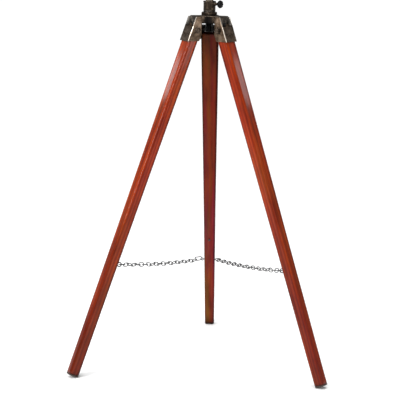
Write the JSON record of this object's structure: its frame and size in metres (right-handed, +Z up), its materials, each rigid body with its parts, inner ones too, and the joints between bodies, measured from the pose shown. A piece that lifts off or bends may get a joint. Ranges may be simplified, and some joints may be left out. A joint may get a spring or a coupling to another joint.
{
  "type": "wooden field tripod",
  "caption": "Folding wooden stand: hardwood legs hinged in bronzed brackets under a cast head with a clamped post, tied by restraint chains.",
  "frame": {"origin": "on the floor, under the centre of the stand's outline box", "axes": "+Z up along the post, +Y towards the single back leg, -Y towards the viewer, +X to the viewer's right"},
  "size_m": [0.7128, 0.6194, 1.0695],
  "materials": {
    "mahogany": "glossy varnish",
    "cast_bronze": "aged bronze, satin",
    "bracket_bronze": "aged bronze, satin",
    "bronze_fixings": "aged bronze",
    "post_bronze": "aged bronze, smooth",
    "knob_black": "gloss black",
    "steel_wire": "dull grey steel",
    "foot_rubber": "matt dark"
  },
  "bodies": {
    "head": {"hub_casting": "cast_bronze", "post_socket": "cast_bronze", "lock_collar": "cast_bronze"},
    "post": {"mount_post": "post_bronze"},
    "clamp": {"clamp_screw": "cast_bronze", "clamp_knob": "knob_black"},
    "leg_left": {"leg_left": "mahogany", "bracket_left": "bracket_bronze", "pivot_bolt_left": "bronze_fixings", "pivot_washer_left_a": "bronze_fixings", "pivot_washer_left_b": "bronze_fixings", "pivot_nut_left": "bronze_fixings", "bracket_screw_left_a": "bronze_fixings", "bracket_screw_left_b": "bronze_fixings", "foot_pad_left": "foot_rubber", "foot_nail_left": "steel_wire", "chain_eye_left": "steel_wire"},
    "leg_right": {"leg_right": "mahogany", "bracket_right": "bracket_bronze", "pivot_bolt_right": "bronze_fixings", "pivot_washer_right_a": "bronze_fixings", "pivot_washer_right_b": "bronze_fixings", "pivot_nut_right": "bronze_fixings", "bracket_screw_right_a": "bronze_fixings", "bracket_screw_right_b": "bronze_fixings", "foot_pad_right": "foot_rubber", "foot_nail_right": "steel_wire", "chain_eye_right": "steel_wire"},
    "leg_back": {"leg_back": "mahogany", "bracket_back": "bracket_bronze", "pivot_bolt_back": "bronze_fixings", "pivot_washer_back_a": "bronze_fixings", "pivot_washer_back_b": "bronze_fixings", "pivot_nut_back": "bronze_fixings", "bracket_screw_back_a": "bronze_fixings", "bracket_screw_back_b": "bronze_fixings", "foot_pad_back": "foot_rubber", "foot_nail_back": "steel_wire", "chain_eye_back_left": "steel_wire", "chain_eye_back_right": "steel_wire", "stow_screw": "steel_wire"},
    "chain_left_front": {"chain_front_left": "steel_wire"},
    "chain_left_back": {"chain_back_left": "steel_wire", "chain_hook": "steel_wire"},
    "chain_right_front": {"chain_front_right": "steel_wire"},
    "chain_right_back": {"chain_back_right": "steel_wire"}
  },
  "joints": [
    {"name": "leg_left_fold", "type": "hinge", "parent": "head", "child": "leg_left", "pos_m": [-0.04053, -0.12012, 0.94354], "axis": [0.5, -0.866, 0], "range_deg": [0, 20.22]},
    {"name": "leg_right_fold", "type": "hinge", "parent": "head", "child": "leg_right", "pos_m": [0.04053, -0.12012, 0.94354], "axis": [0.5, 0.866, 0], "range_deg": [0, 20.22]},
    {"name": "leg_back_fold", "type": "hinge", "parent": "head", "child": "leg_back", "pos_m": [0, -0.04992, 0.94354], "axis": [-1, 0, 0], "range_deg": [0, 20.22]},
    {"name": "chain_left_front_swing", "type": "hinge", "parent": "leg_left", "child": "chain_left_front", "pos_m": [-0.22249, -0.22518, 0.3048], "axis": [-0.7034, -0.048, 0.7092], "range_deg": [0, 107.37]},
    {"name": "chain_left_back_swing", "type": "hinge", "parent": "leg_back", "child": "chain_left_back", "pos_m": [-0.02262, 0.21448, 0.22568], "axis": [0.4755, -0.7157, -0.5115], "range_deg": [0, 124.07]},
    {"name": "chain_right_front_swing", "type": "hinge", "parent": "leg_right", "child": "chain_right_front", "pos_m": [0.22249, -0.22518, 0.3048], "axis": [-0.7034, 0.048, -0.7092], "range_deg": [0, 107.37]},
    {"name": "chain_right_back_swing", "type": "hinge", "parent": "leg_back", "child": "chain_right_back", "pos_m": [0.02262, 0.21448, 0.22568], "axis": [0.4755, 0.7157, 0.5115], "range_deg": [0, 124.07]},
    {"name": "post_slide", "type": "slide", "parent": "head", "child": "post", "axis": [0, 0, 1], "range_m": [0, 0.04]},
    {"name": "clamp_turn", "type": "hinge", "parent": "head", "child": "clamp", "pos_m": [0.02598, -0.11172, 1.01344], "axis": [0.866, -0.5, 0], "range_deg": [0, 270]}
  ],
  "couplings": [
    {"joint": "leg_right_fold", "follows": "leg_left_fold", "ratio": 1},
    {"joint": "leg_back_fold", "follows": "leg_left_fold", "ratio": 1},
    {"joint": "chain_left_front_swing", "follows": "leg_left_fold", "ratio": 5.3102},
    {"joint": "chain_left_back_swing", "follows": "leg_left_fold", "ratio": 6.1362},
    {"joint": "chain_right_front_swing", "follows": "leg_left_fold", "ratio": 5.3102},
    {"joint": "chain_right_back_swing", "follows": "leg_left_fold", "ratio": 6.1362}
  ]
}
